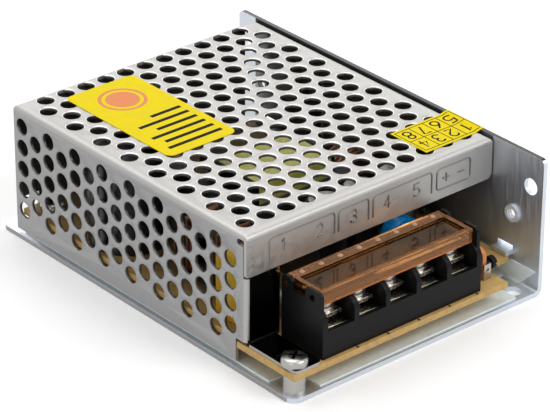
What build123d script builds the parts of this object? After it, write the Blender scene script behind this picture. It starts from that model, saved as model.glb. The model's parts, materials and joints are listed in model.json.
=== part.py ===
from build123d import *
from math import pi, sin, sqrt
import os

os.makedirs("parts", exist_ok=True)

# Switching power supply in a mesh case, in millimetres.
# The terminal end faces -Y, the tall chassis wall is on +X, and the base stands on Z = 0.

# Chassis: one folded aluminium sheet
case_length = 110.0
case_width = 78.0
case_height = 36.0
chassis_sheet = 1.2
chassis_bend = 2.2
base_corner = 3.0
wall_corner = 1.5
mount_hole = 4.2
mount_hole_inset = 4.0
base_hole_inset = 5.5
wall_hole_drop = 8.3
tapped_hole = 2.6
tapped_collar = 4.6
tapped_collar_rise = 0.6
tapped_hole_inset = 9.5
tapped_hole_height = 18.5
lance_width = 5.0
lance_reach = 2.2
lance_window = 1.1
lance_inset = 11.5
lance_gap = 0.1

# Cover: one folded perforated sheet
cover_sheet = 0.8
cover_bend = 1.2
cover_front_setback = 16.8
cover_back_setback = 6.4
cover_side_setback = 0.6
cover_wall_gap = 0.3
cover_top_drop = 0.4
cover_foot_gap = 1.0
lip_height = 10.5
lip_corner = 1.5
seam = 0.2
back_notch_width = 6.2
back_notch_gap = 3.0
back_wall_clearance = 3.8
side_notch_length = 3.7
relief_length = 2.0
relief_height = 1.6
flange_width = 9.9
flange_gap = 0.3
tab_width = 8.0
tab_side_inset = 0.4
tab_front_inset = 0.3
wing_height = 8.0
wing_end_gap = 6.0
wing_screw_inset = 18.0
mesh_hole = 4.2
mesh_sides = 8
mesh_row_pitch = 5.2
mesh_first_row = 5.7
mesh_edge = 2.6
top_hole_pitch = 6.1
top_hole_edge = 3.4
side_hole_pitch = 5.7
side_first_hole = 4.8
side_hole_edge = 2.8

# Insulating film under the board
film = 0.4
film_front_inset = 1.0
film_back_gap = 1.0
film_flap_rise = 4.9
film_corner = 9.0
film_corner_depth = 9.7
film_hole_room = 2.0
film_notch_depth = 11.0

# Circuit board on its pillars
board = 1.6
board_front_inset = 0.2
board_side_gap = 0.4
board_wall_gap = 1.2
board_back_gap = 0.3
board_notch_width = 8.9
board_notch_depth = 8.8
pillar_height = 4.7
pillar = 5.3
pillar_inset = 3.6
rear_pillar_side = 5.5
rear_pillar_back = 4.5

# Machine screws
screw_shank = 3.0
screw_fit = 0.1
screw_head = 6.4
screw_head_height = 2.3
screw_head_edge = 0.6
cross_width = 0.9
cross_length = 4.0
cross_depth = 1.2
board_screw_grip = 3.2
wall_screw_grip = 2.0

# Terminal block
bay_count = 5
bay_width = 8.0
block_wall = 1.5
block_side_inset = 9.8
block_front_inset = 1.2
block_depth = 14.2
block_height = 12.3
block_nose = 3.0
sill_depth = 1.2
sill_height = 6.9
bay_floor = 5.7
ear_height = 16.5
ear_notch_height = 13.6
front_ear_start = 0.8
front_ear_length = 5.4
rear_ear_length = 3.8
ear_round = 1.4
ear_wall = 1.0
spare_hole_setback = 3.8
hinge_setback = 12.7
hinge_height = 14.5
hinge_pin = 1.5
hinge_fit = 0.2

# Terminal contacts, clamp plates, spring washers and screws
contact_sheet = 0.8
contact_width = 6.4
contact_setback = 1.8
contact_length = 9.5
contact_tail = 2.0
contact_tail_below = 1.2
slot_fit = 0.2
terminal_setback = 6.8
clamp_plate = 1.0
clamp_width = 6.6
clamp_length = 6.4
clamp_travel = 1.4
clamp_groove = 0.5
clamp_groove_pitch = 4.6
washer = 0.7
washer_diameter = 5.6
terminal_shank = 3.3
terminal_fit = 0.1
terminal_head = 5.8
terminal_head_height = 2.1
terminal_screw_length = 6.5
recess_width = 0.8
recess_length = 3.6
recess_depth = 1.0

# Flip lid over the terminals
lid_end_gap = 0.2
lid_setback = 2.2
lid_depth = 11.6
lid_plate = 1.2
lid_rim_rise = 0.7
lid_rim = 1.2
lid_back_rim = 3.0
lid_top_height = 16.1
lid_front_drop = 1.7
lid_end_drop = 1.2
lid_skin = 1.2

# Output voltage adjuster
trimmer_gap = 3.8
trimmer_plate = 1.2
trimmer_length = 6.2
trimmer_height = 7.8
trimmer_round = 2.0
trimmer_setback = 3.4
lug = 0.5
lug_gap = 0.1
lug_width = 2.2
lug_height = 4.1
lug_hole = 0.9
lug_hole_height = 2.6
rotor_diameter = 3.2
rotor = 1.4
rotor_reach = 2.2
rotor_setback = 1.5
rotor_height = 2.8
rotor_shaft = 1.8
rotor_fit = 0.1
rotor_slot = 0.6
rotor_slot_depth = 0.5

# Stickers on the cover
sticker = 0.12
large_label_width = 20.7
large_label_length = 40.3
large_label_side = 11.4
large_label_back = 5.3
large_label_corner = 2.0
small_label_width = 18.7
small_label_length = 12.5
small_label_front = 4.5

# Parts on the board: side, setback and inset run from the board's left, the cover's front and the board's back
lead = 0.8
can_edge = 0.8
disc_rise = 4.9
x_cap_width = 7.0
x_cap_length = 13.0
x_cap_height = 16.5
x_cap_side = 3.2
x_cap_setback = 3.2
fuse_diameter = 3.6
fuse_length = 10.0
fuse_cap = 2.4
fuse_height = 3.4
fuse_side = 15.5
fuse_setback = 4.0
thermistor_diameter = 9.0
thermistor_disc = 4.0
thermistor_side = 23.0
thermistor_setback = 9.5
y_cap_diameter = 9.0
y_cap_disc = 4.0
y_cap_side = 49.9
y_cap_setback = 4.7
choke_outer = 17.0
choke_inner = 8.0
choke_width = 7.0
choke_copper = 1.4
choke_span = 110.0
choke_side = 13.0
choke_setback = 27.5
bulk_diameter = 20.0
bulk_top_gap = 2.3
bulk_side = 10.8
bridge_width = 3.4
bridge_length = 14.0
bridge_height = 11.0
bridge_leg = 4.0
bridge_leg_count = 4
bridge_leg_pitch = 3.5
bridge_side = 23.0
bridge_gap = 1.0
core_leg = 7.0
core_yoke = 3.5
core_window = 5.7
bobbin = 1.0
bobbin_fit = 0.2
coil_build = 4.0
coil_round = 1.5
coil_lift = 1.0
transformer_top_gap = 5.9
transformer_choke_gap = 3.3
transformer_inductor_gap = 0.1
transformer_setback = 36.2
output_cap_diameter = 10.0
output_cap_top_gap = 7.3
output_cap_pitch = 11.0
output_cap_count = 3
output_cap_side = 34.5
output_cap_setback = 13.5
inductor_outer = 15.0
inductor_inner = 8.0
inductor_width = 6.5
inductor_copper = 1.2
inductor_span = 290.0
inductor_wall_gap = 13.0
inductor_setback = 34.5
device_width = 10.2
device_top_gap = 0.3
device_tab_length = 6.2
device = 4.5
device_tab = 1.3
device_leg = 4.4
device_leg_count = 3
device_leg_pitch = 2.54
device_hole_drop = 2.9
diode_setback = 23.8
transistor_inset = 19.7
pad = 0.3
pad_margin = 0.6
chip_width = 6.4
chip_height = 3.4
chip_foot = 0.5
chip_pin_pitch = 2.54
chip_pin = 0.5
optocoupler_pins = 2
optocoupler_side = 56.6
optocoupler_setback = 55.0
control_pins = 4
control_side = 50.0
control_inset = 15.7
resistor_diameter = 2.4
resistor_length = 6.5
resistor_lift = 0.6
resistor_pitch = 5.0
resistor_count = 4
resistor_side = 28.0
resistor_inset = 9.7

# Edges of the case and of the cover
left = -case_width / 2
right = case_width / 2
front = -case_length / 2
back = case_length / 2
base_top = chassis_sheet
wall_face = right - chassis_sheet
cover_left = left + cover_side_setback
cover_right = wall_face - cover_wall_gap
cover_front = front + cover_front_setback
cover_back = back - cover_back_setback
cover_top = case_height - cover_top_drop
cover_foot = base_top + cover_foot_gap
cover_middle = (cover_left + cover_right) / 2
lip_bottom = cover_top - lip_height
fold_line = cover_top - cover_bend
wing_bottom = cover_top - wing_height

# Levels and edges of the board
board_bottom = base_top + pillar_height
board_top = board_bottom + board
board_left = cover_left + cover_sheet + board_side_gap
board_right = wall_face - board_wall_gap
board_front = front + board_front_inset
board_back = cover_back - cover_sheet - board_back_gap
tab_top = board_top + cover_sheet
back_notch_top = board_top + back_notch_gap
cover_under = cover_top - cover_sheet
screw_clear = screw_shank + 2 * screw_fit
front_pillar = (left + pillar_inset, front + pillar_inset)
rear_pillar = (board_left + rear_pillar_side, board_back - rear_pillar_back)

# Terminal block grid
bay_pitch = bay_width + block_wall
block_width = bay_count * bay_pitch + block_wall
block_left = left + block_side_inset
block_right = block_left + block_width
block_middle = (block_left + block_right) / 2
block_front = front + block_front_inset
block_back = block_front + block_depth
block_top = board_top + block_height
bay_level = board_top + bay_floor
contact_top = bay_level + contact_sheet
clamp_bottom = contact_top + clamp_travel
washer_bottom = clamp_bottom + clamp_plate
head_bottom = washer_bottom + washer
head_top = head_bottom + terminal_head_height
terminal_y = block_front + terminal_setback
terminal_xs = [block_left + block_wall + bay_width / 2 + bay_pitch * n for n in range(bay_count)]
strip_front = block_front + contact_setback
tail_y = strip_front + contact_length - contact_sheet / 2
hinge_y = block_front + hinge_setback
hinge_z = board_top + hinge_height

# Places along the tall wall
end_ys = (front + mount_hole_inset, back - mount_hole_inset)
tapped_ys = (front + tapped_hole_inset, back - tapped_hole_inset)
lance_ys = (front + lance_inset, back - lance_inset)
lance_bottom = board_top + lance_gap
lance_window_z = lance_bottom + chassis_sheet + lance_window / 2
device_ys = (cover_front + diode_setback, board_back - transistor_inset)
device_height = wing_bottom - device_top_gap - board_top - device_leg
device_body = device_height - device_tab_length
device_hole_z = board_top + device_leg + device_height - device_hole_drop
device_screw_points = [(y, device_hole_z) for y in device_ys]
wing_screw_ys = (cover_front + wing_screw_inset, cover_back - wing_screw_inset)
wing_screw_points = [(y, cover_top - wing_height / 2) for y in wing_screw_ys]
sink = chassis_sheet / 2


def save(builder, name):
    builder.part.label = name
    export_step(builder.part, f"parts/{name}.step")


def patch(x_low, y_low, x_high, y_high, mode=Mode.ADD):
    with Locations(((x_low + x_high) / 2, (y_low + y_high) / 2)):
        Rectangle(x_high - x_low, y_high - y_low, mode=mode)


# Chassis: base and tall wall in one folded section, with holes, collars and board lances
with BuildPart() as chassis:
    with BuildSketch(Plane.XZ.offset(-back)) as section:
        patch(left, 0, right, base_top)
        patch(wall_face, 0, right, case_height)
        fillet(section.vertices().sort_by_distance((right, 0))[0], chassis_bend)
        fillet(section.vertices().sort_by_distance((wall_face, base_top))[0], chassis_bend - chassis_sheet)
    extrude(amount=case_length)
    fillet(chassis.edges().filter_by(Axis.Z).group_by(Axis.X)[0], base_corner)
    fillet(chassis.edges().filter_by(Axis.X).group_by(Axis.Z)[-1], wall_corner)
    with BuildSketch(Plane.XY):
        with Locations(*[(right - base_hole_inset, y) for y in end_ys], (left + base_hole_inset, end_ys[1])):
            Circle(mount_hole / 2)
    extrude(amount=base_top, mode=Mode.SUBTRACT)
    with BuildSketch(Plane.YZ.offset(wall_face)):
        with Locations(*[(y, tapped_hole_height) for y in tapped_ys]):
            Circle(tapped_collar / 2)
    extrude(amount=-tapped_collar_rise)
    with BuildSketch(Plane.YZ.offset(right)):
        with Locations(*[(y, case_height - wall_hole_drop) for y in end_ys]):
            Circle(mount_hole / 2)
        with Locations(*[(y, tapped_hole_height) for y in tapped_ys]):
            Circle(tapped_hole / 2)
        with Locations(*[(y, lance_window_z) for y in lance_ys]):
            Rectangle(lance_width, lance_window)
    extrude(amount=-(chassis_sheet + tapped_collar_rise), mode=Mode.SUBTRACT)
    # Each lance is a tongue turned in from the wall, over the board's edge
    with BuildSketch(Plane.XY.offset(lance_bottom)):
        with Locations(*[(wall_face - lance_reach / 2, y) for y in lance_ys]):
            Rectangle(lance_reach, lance_width)
    extrude(amount=chassis_sheet)
    for y, z in wing_screw_points + device_screw_points:
        with Locations(Plane((right, y, z), x_dir=(0, 1, 0), z_dir=(1, 0, 0))):
            CounterSinkHole(screw_clear / 2, screw_clear / 2 + sink, depth=chassis_sheet)
save(chassis, "chassis")

# Cover: a folded open box, trimmed to its lip, wing and back wall, then perforated
mesh_radius = mesh_hole / 2 * sqrt(2 * pi / (mesh_sides * sin(2 * pi / mesh_sides)))
mesh_turn = 180 / mesh_sides
row_count = int((cover_back - cover_front - mesh_first_row - mesh_edge) / mesh_row_pitch) + 1
row_ys = [cover_front + mesh_first_row + mesh_row_pitch * n for n in range(row_count)]
top_count = int((cover_right - cover_left - 2 * top_hole_edge) / top_hole_pitch) + 1
top_holes = [
    (cover_middle + top_hole_pitch * (n - (top_count - 1 - row % 2) / 2), row_y)
    for row, row_y in enumerate(row_ys)
    for n in range(top_count - row % 2)
]
side_count = int((cover_top - cover_foot - side_first_hole - side_hole_edge) / side_hole_pitch) + 1
side_holes = [
    (row_y, cover_top - side_first_hole - side_hole_pitch * (n + (row + 1) % 2 / 2))
    for row, row_y in enumerate(row_ys)
    for n in range(side_count - (row + 1) % 2)
]
tab_left = cover_left + tab_side_inset
with BuildPart() as cover:
    with BuildSketch(Plane.XY.offset(cover_foot)):
        patch(cover_left, cover_front, cover_right, cover_back)
    extrude(amount=cover_top - cover_foot)
    fillet(cover.edges().group_by(Axis.Z)[-1], cover_bend)
    offset(amount=-cover_sheet, openings=cover.faces().sort_by(Axis.Z)[0])
    # Below the lip the front is open
    with BuildSketch(Plane.XZ.offset(-cover_front)):
        patch(cover_left, cover_foot, cover_right, lip_bottom)
    extrude(amount=-cover_sheet, mode=Mode.SUBTRACT)
    # On the right only a short wing hangs behind the tall wall
    with BuildSketch(Plane.YZ.offset(cover_right)):
        patch(cover_front + cover_sheet, cover_foot, cover_back, fold_line)
        patch(cover_front + wing_end_gap, wing_bottom, cover_back - wing_end_gap, cover_top, Mode.SUBTRACT)
        with Locations(*wing_screw_points):
            Circle(screw_clear / 2)
    extrude(amount=-cover_sheet, mode=Mode.SUBTRACT)
    lip_end = cover.edges().filter_by(Axis.Y).sort_by_distance((cover_right, cover_front, lip_bottom))[0]
    fillet(lip_end, lip_corner)
    # The back wall stops short of the tall wall, and a notch at its left foot clears the board's corner
    with BuildSketch(Plane.XZ.offset(-cover_back)):
        patch(cover_left + cover_sheet, cover_foot, cover_left + back_notch_width, back_notch_top)
        patch(cover_right - back_wall_clearance, cover_foot, cover_right, fold_line)
        patch(cover_left + cover_sheet, cover_foot, cover_left + cover_sheet + seam, fold_line)
    extrude(amount=cover_sheet, mode=Mode.SUBTRACT)
    # The left wall clears the board at its front foot, with a seam behind the lip and a relief at the fold
    seam_y = cover_front + cover_sheet
    with BuildSketch(Plane.YZ.offset(cover_left)):
        patch(cover_front, cover_foot, cover_front + side_notch_length, tab_top)
        patch(seam_y, lip_bottom - flange_gap, seam_y + seam, fold_line)
        patch(seam_y, fold_line - relief_height, seam_y + relief_length, fold_line)
    extrude(amount=cover_sheet, mode=Mode.SUBTRACT)
    # A flange is folded in from the left wall, and a foot tab is folded forward from it
    with BuildSketch(Plane.XZ.offset(-cover_front)):
        patch(cover_left, board_top, cover_left + flange_width, lip_bottom - flange_gap)
    extrude(amount=-cover_sheet)
    with BuildSketch(Plane.XY.offset(board_top)):
        patch(tab_left, front + tab_front_inset, tab_left + tab_width, cover_front)
        with Locations(front_pillar):
            Circle(screw_clear / 2, mode=Mode.SUBTRACT)
    extrude(amount=cover_sheet)
    # Staggered rows of holes in the top, and columns of holes in the left wall
    with BuildSketch(Plane.XY.offset(cover_top)):
        with Locations(*top_holes):
            RegularPolygon(mesh_radius, mesh_sides, rotation=mesh_turn)
    extrude(amount=-cover_sheet, mode=Mode.SUBTRACT)
    with BuildSketch(Plane.YZ.offset(cover_left)):
        with Locations(*side_holes):
            RegularPolygon(mesh_radius, mesh_sides, rotation=mesh_turn)
    extrude(amount=cover_sheet, mode=Mode.SUBTRACT)
save(cover, "cover")

# Insulating film on the base, turned up against the tall wall
film_back = board_back - film_back_gap
film_left = cover_left + cover_sheet
film_fold = chassis_bend - chassis_sheet
film_notch_left = right - base_hole_inset - film_hole_room
flap_top = base_top + film_flap_rise
with BuildPart() as insulating_sheet:
    with BuildSketch(Plane.XZ.offset(-film_back)) as film_section:
        patch(film_left, base_top, wall_face, base_top + film)
        patch(wall_face - film, base_top, wall_face, flap_top)
        fillet(film_section.vertices().sort_by_distance((wall_face, base_top))[0], film_fold)
        inner_fold = film_section.vertices().sort_by_distance((wall_face - film, base_top + film))[0]
        fillet(inner_fold, film_fold - film)
    extrude(amount=film_back - front - film_front_inset)
    with BuildSketch(Plane.XY.offset(base_top)):
        patch(film_left, front, left + film_corner, front + film_corner_depth)
        patch(film_notch_left, front, wall_face - film_fold, front + film_notch_depth)
        with Locations(rear_pillar):
            Circle(pillar / 2 + film_hole_room)
    extrude(amount=film, mode=Mode.SUBTRACT)
    with BuildSketch(Plane.YZ.offset(wall_face)):
        with BuildLine():
            Polyline(
                (front, flap_top),
                (front, base_top),
                (front + film_front_inset + film_flap_rise, base_top),
                (front + film_front_inset, flap_top),
                close=True,
            )
        make_face()
    extrude(amount=-film_fold, mode=Mode.SUBTRACT)
save(insulating_sheet, "insulating_sheet")

# Circuit board with the corner cut away over the front mounting hole
with BuildPart() as circuit_board:
    with BuildSketch(Plane.XY.offset(board_bottom)):
        patch(board_left, board_front, board_right, board_back)
        patch(cover_left, board_front, board_right, cover_front + side_notch_length - board_side_gap)
        notch_back = board_front + board_notch_depth
        patch(board_right - board_notch_width, front, board_right, notch_back, Mode.SUBTRACT)
        with Locations(front_pillar, rear_pillar):
            Circle(screw_clear / 2, mode=Mode.SUBTRACT)
        with Locations(*[(x, tail_y) for x in terminal_xs]):
            Rectangle(contact_tail + 2 * slot_fit, contact_sheet + 2 * slot_fit, mode=Mode.SUBTRACT)
    extrude(amount=board)
save(circuit_board, "circuit_board")

# Pillars under the board, and the pan head screws that go down into them
with BuildPart() as standoffs:
    with BuildSketch(Plane.XY.offset(base_top)):
        with Locations(front_pillar, rear_pillar):
            Circle(pillar / 2)
            Circle(screw_clear / 2, mode=Mode.SUBTRACT)
    extrude(amount=pillar_height)
save(standoffs, "standoffs")

with BuildPart() as board_screws:
    for (x, y), seat in ((front_pillar, tab_top), (rear_pillar, board_top)):
        top = seat + screw_head_height
        with BuildSketch(Plane.XY.offset(seat)):
            with Locations((x, y)):
                Circle(screw_head / 2)
        extrude(amount=screw_head_height)
        rings = board_screws.edges().filter_by(GeomType.CIRCLE)
        chamfer(rings.sort_by_distance((x, y, top))[0], screw_head_edge)
        with BuildSketch(Plane.XY.offset(top)):
            with Locations((x, y)):
                Rectangle(cross_length, cross_width)
                Rectangle(cross_width, cross_length)
        extrude(amount=-cross_depth, mode=Mode.SUBTRACT)
        with BuildSketch(Plane.XY.offset(seat)):
            with Locations((x, y)):
                Circle(screw_shank / 2)
        extrude(amount=board_bottom - board_screw_grip - seat)
save(board_screws, "board_screws")


def wall_screws(name, points, inner_x):
    with BuildPart() as screws:
        for y, z in points:
            with Locations((right - sink / 2, y, z)):
                Cone(screw_shank / 2, screw_shank / 2 + sink, sink, rotation=(0, 90, 0))
            with BuildSketch(Plane.YZ.offset(inner_x)):
                with Locations((y, z)):
                    Circle(screw_shank / 2)
            extrude(amount=right - sink - inner_x)
    save(screws, name)


# Countersunk screws through the tall wall, into the cover's wing and the two power devices
wall_screws("cover_screws", wing_screw_points, cover_right - cover_sheet - wall_screw_grip)
wall_screws("device_screws", device_screw_points, wall_face - pad - device_tab - wall_screw_grip)

# Terminal block housing: five bays behind a low sill, with hinge ears on the end walls
ear_front = block_front + front_ear_start
ear_root = block_top - block_nose
with BuildPart() as terminal_block:
    with BuildSketch(Plane.XY.offset(board_top)):
        patch(block_left, block_front, block_right, block_back)
    extrude(amount=block_height)
    nose = terminal_block.edges().filter_by(Axis.X).sort_by_distance((block_middle, block_front, block_top))[0]
    fillet(nose, block_nose)
    with BuildSketch(Plane.XY.offset(block_top)):
        for x in terminal_xs:
            patch(x - bay_width / 2, block_front + sill_depth, x + bay_width / 2, block_back - block_wall)
    extrude(amount=bay_level - block_top, mode=Mode.SUBTRACT)
    with BuildSketch(Plane.XY.offset(block_top)):
        for x in terminal_xs:
            patch(x - bay_width / 2, block_front, x + bay_width / 2, block_front + sill_depth)
    extrude(amount=sill_height - block_height, mode=Mode.SUBTRACT)
    with BuildSketch(Plane.XY.offset(bay_level)):
        with Locations(*[(x, tail_y) for x in terminal_xs]):
            Rectangle(contact_tail + 2 * slot_fit, contact_sheet + 2 * slot_fit)
    extrude(amount=-bay_floor, mode=Mode.SUBTRACT)
    # Blind wells take the screw tips
    with BuildSketch(Plane.XY.offset(bay_level)):
        with Locations(*[(x, terminal_y) for x in terminal_xs]):
            Circle(terminal_shank / 2 + terminal_fit)
    extrude(amount=block_wall - bay_floor, mode=Mode.SUBTRACT)
    for ear_x in (block_left, block_right - ear_wall):
        with BuildSketch(Plane.YZ.offset(ear_x)) as ears:
            patch(ear_front, ear_root, ear_front + front_ear_length, board_top + ear_height)
            patch(block_back - rear_ear_length, ear_root, block_back, board_top + ear_height)
            fillet(ears.vertices().group_by(Axis.Y)[-1], ear_round)
            patch(ear_front, ear_root, block_back, board_top + ear_notch_height)
            with Locations((block_front + spare_hole_setback, hinge_z), (hinge_y, hinge_z)):
                Circle((hinge_pin + hinge_fit) / 2, mode=Mode.SUBTRACT)
        extrude(amount=ear_wall)
save(terminal_block, "terminal_block")

# Contact strip, clamp plate, spring washer and screw in every bay
for number, x in enumerate(terminal_xs, start=1):
    with BuildPart() as contact:
        with BuildSketch(Plane.XY.offset(bay_level)):
            patch(x - contact_width / 2, strip_front, x + contact_width / 2, strip_front + contact_length)
            with Locations((x, terminal_y)):
                Circle(terminal_shank / 2 + terminal_fit, mode=Mode.SUBTRACT)
        extrude(amount=contact_sheet)
        with BuildSketch(Plane.XY.offset(bay_level)):
            with Locations((x, tail_y)):
                Rectangle(contact_tail, contact_sheet)
        extrude(amount=board_bottom - contact_tail_below - bay_level)
    save(contact, f"contact_{number}")

    with BuildPart() as clamp:
        with BuildSketch(Plane.YZ.offset(x - clamp_width / 2)):
            patch(terminal_y - clamp_length / 2, clamp_bottom, terminal_y + clamp_length / 2, washer_bottom)
            with Locations((terminal_y, clamp_bottom)):
                with GridLocations(clamp_groove_pitch, 0, 2, 1):
                    Rectangle(clamp_groove, clamp_groove, rotation=45, mode=Mode.SUBTRACT)
        extrude(amount=clamp_width)
        with BuildSketch(Plane.XY.offset(clamp_bottom)):
            with Locations((x, terminal_y)):
                Circle(terminal_shank / 2 + terminal_fit)
        extrude(amount=clamp_plate, mode=Mode.SUBTRACT)
    save(clamp, f"clamp_{number}")

    with BuildPart() as spring_washer:
        with BuildSketch(Plane.XY.offset(washer_bottom)):
            with Locations((x, terminal_y)):
                Circle(washer_diameter / 2)
                Circle(terminal_shank / 2 + terminal_fit, mode=Mode.SUBTRACT)
            with Locations((x + washer_diameter / 2, terminal_y)):
                Rectangle(washer_diameter, washer, mode=Mode.SUBTRACT)
        extrude(amount=washer)
    save(spring_washer, f"spring_washer_{number}")

    with BuildPart() as terminal_screw:
        with BuildSketch(Plane.XY.offset(head_bottom)):
            with Locations((x, terminal_y)):
                Circle(terminal_head / 2)
        extrude(amount=terminal_head_height)
        chamfer(terminal_screw.edges().group_by(Axis.Z)[-1], screw_head_edge)
        with BuildSketch(Plane.XY.offset(head_top)):
            with Locations((x, terminal_y)):
                Rectangle(recess_length, recess_width)
                Rectangle(recess_width, recess_length)
        extrude(amount=-recess_depth, mode=Mode.SUBTRACT)
        with BuildSketch(Plane.XY.offset(head_bottom)):
            with Locations((x, terminal_y)):
                Circle(terminal_shank / 2)
        extrude(amount=-terminal_screw_length)
    save(terminal_screw, f"terminal_screw_{number}")

# Flip lid: a plate with a raised rim, a front skirt, end skirts and hinge pegs
lid_left = block_left + ear_wall + lid_end_gap
lid_right = block_right - ear_wall - lid_end_gap
lid_front = block_front + lid_setback
lid_back = lid_front + lid_depth
lid_top = board_top + lid_top_height
lid_under = lid_top - lid_rim_rise - lid_plate
peg_length = ear_wall + lid_end_gap - hinge_fit
with BuildPart() as terminal_cover:
    with BuildSketch(Plane.XY.offset(lid_under)):
        patch(lid_left, lid_front, lid_right, lid_back)
    extrude(amount=lid_top - lid_under)
    with BuildSketch(Plane.XY.offset(lid_top)):
        patch(lid_left + lid_rim, lid_front + lid_rim, lid_right - lid_rim, lid_back - lid_back_rim)
    extrude(amount=-lid_rim_rise, mode=Mode.SUBTRACT)
    with BuildSketch(Plane.XY.offset(lid_under)):
        patch(lid_left, lid_front, lid_right, lid_front + lid_skin)
    extrude(amount=-lid_front_drop)
    with BuildSketch(Plane.XY.offset(lid_under)):
        patch(lid_left, lid_front, lid_left + lid_skin, lid_back)
        patch(lid_right - lid_skin, lid_front, lid_right, lid_back)
    extrude(amount=-lid_end_drop)
    for peg_x, way in ((lid_left, -1), (lid_right, 1)):
        with BuildSketch(Plane.YZ.offset(peg_x)):
            with Locations((hinge_y, hinge_z)):
                Circle(hinge_pin / 2)
        extrude(amount=way * peg_length)
save(terminal_cover, "terminal_cover")

# Output voltage adjuster: an upright track plate, its metal lug in front, and the slotted knob on its far side
trimmer_left = block_right + trimmer_gap
trimmer_right = trimmer_left + trimmer_plate
trimmer_front = block_front + trimmer_setback
rotor_point = (trimmer_front + rotor_setback, board_top + rotor_height)
with BuildPart() as trimmer_body:
    with BuildSketch(Plane.YZ.offset(trimmer_left)) as track:
        patch(trimmer_front, board_top, trimmer_front + trimmer_length, board_top + trimmer_height)
        fillet(track.vertices().group_by(Axis.Y)[-1], trimmer_round)
        with Locations(rotor_point):
            Circle(rotor_shaft / 2 + rotor_fit, mode=Mode.SUBTRACT)
    extrude(amount=trimmer_plate)
save(trimmer_body, "trimmer_body")

with BuildPart() as trimmer_lug:
    with BuildSketch(Plane.XZ.offset(lug_gap - trimmer_front)):
        patch(trimmer_left, board_top, trimmer_left + lug_width, board_top + lug_height)
        with Locations((trimmer_left + lug_width / 2, board_top + lug_hole_height)):
            Circle(lug_hole / 2, mode=Mode.SUBTRACT)
    extrude(amount=lug)
save(trimmer_lug, "trimmer_lug")

with BuildPart() as trimmer_rotor:
    with BuildSketch(Plane.YZ.offset(trimmer_right + rotor_reach)):
        with Locations(rotor_point):
            Circle(rotor_diameter / 2)
    extrude(amount=rotor)
    with BuildSketch(Plane.YZ.offset(trimmer_right + rotor_reach + rotor)):
        with Locations(rotor_point):
            Rectangle(rotor_diameter, rotor_slot)
    extrude(amount=-rotor_slot_depth, mode=Mode.SUBTRACT)
    with BuildSketch(Plane.YZ.offset(trimmer_left)):
        with Locations(rotor_point):
            Circle(rotor_shaft / 2)
    extrude(amount=trimmer_plate + rotor_reach)
save(trimmer_rotor, "trimmer_rotor")

# Stickers on the cover's top
large_label_left = cover_left + large_label_side
large_label_end = cover_back - large_label_back
small_label_start = cover_front + small_label_front
with BuildPart() as large_label:
    with BuildSketch(Plane.XY.offset(cover_top)) as large_sheet:
        patch(
            large_label_left,
            large_label_end - large_label_length,
            large_label_left + large_label_width,
            large_label_end,
        )
        fillet(large_sheet.vertices(), large_label_corner)
    extrude(amount=sticker)
save(large_label, "large_label")

with BuildPart() as small_label:
    with BuildSketch(Plane.XZ.offset(-small_label_start)):
        with BuildLine():
            Polyline(
                (right - small_label_width, cover_top),
                (cover_right - cover_bend, cover_top),
                (wall_face, case_height),
                (right, case_height),
                (right, case_height + sticker),
                (wall_face, case_height + sticker),
                (cover_right - cover_bend, cover_top + sticker),
                (right - small_label_width, cover_top + sticker),
                close=True,
            )
        make_face()
    extrude(amount=-small_label_length)
save(small_label, "small_label")


def board_point(side, setback):
    return (board_left + side, cover_front + setback)


def rear_point(side, inset):
    return (board_left + side, board_back - inset)


def midway(low, high):
    return (low + high) / 2


def cans(name, points, diameter, top_gap):
    with BuildPart() as group:
        with BuildSketch(Plane.XY.offset(board_top)):
            with Locations(*points):
                Circle(diameter / 2)
        extrude(amount=cover_under - top_gap - board_top)
        chamfer(group.edges().group_by(Axis.Z)[-1], can_edge)
    save(group, name)


def disc(name, point, diameter, thickness):
    with BuildPart() as body:
        with BuildSketch(Plane.XZ.offset(thickness / 2 - point[1])):
            with Locations((point[0], board_top + disc_rise + diameter / 2)):
                Circle(diameter / 2)
        extrude(amount=-thickness)
        with BuildSketch(Plane.XY.offset(board_top)):
            with Locations(point):
                with GridLocations(diameter / 2, 0, 2, 1):
                    Rectangle(lead, lead)
        extrude(amount=disc_rise + diameter / 2)
    save(body, name)


# Places that neighbouring parts share
choke_x, choke_y = board_point(choke_side, choke_setback)
choke_right = choke_x + choke_width / 2 + choke_copper
choke_back = choke_y + choke_outer / 2 + choke_copper
inductor_x = wall_face - inductor_wall_gap
inductor_left = inductor_x - inductor_outer / 2 - inductor_copper
core_left = choke_right + transformer_choke_gap
core_right = inductor_left - transformer_inductor_gap
core_x = midway(core_left, core_right)
core_y = cover_front + transformer_setback
core_window_length = core_right - core_left - 2 * core_yoke
core_span = core_leg + 2 * core_window + 2 * core_yoke
bridge_front = core_y + core_span / 2 + bridge_gap
rear_screw_front = rear_pillar[1] - screw_head / 2
bulk_point = (board_left + bulk_side, midway(choke_back, rear_screw_front))

# Mains side: suppression capacitors, fuse, thermistor, bridge and bulk capacitor
with BuildPart() as x_capacitor:
    with BuildSketch(Plane.XY.offset(board_top)):
        x_cap_left, x_cap_front = board_point(x_cap_side, x_cap_setback)
        patch(x_cap_left, x_cap_front, x_cap_left + x_cap_width, x_cap_front + x_cap_length)
    extrude(amount=x_cap_height)
    chamfer(x_capacitor.edges().group_by(Axis.Z)[-1], can_edge)
save(x_capacitor, "x_capacitor")

with BuildPart() as fuse:
    fuse_x, fuse_front = board_point(fuse_side, fuse_setback)
    with BuildSketch(Plane.XZ.offset(-fuse_front)):
        with Locations((fuse_x, board_top + fuse_height)):
            Circle(fuse_diameter / 2)
    extrude(amount=-fuse_length)
    with BuildSketch(Plane.XY.offset(board_top)):
        with Locations((fuse_x, fuse_front + fuse_cap / 2), (fuse_x, fuse_front + fuse_length - fuse_cap / 2)):
            Rectangle(lead, lead)
    extrude(amount=fuse_height)
save(fuse, "fuse")

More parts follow.
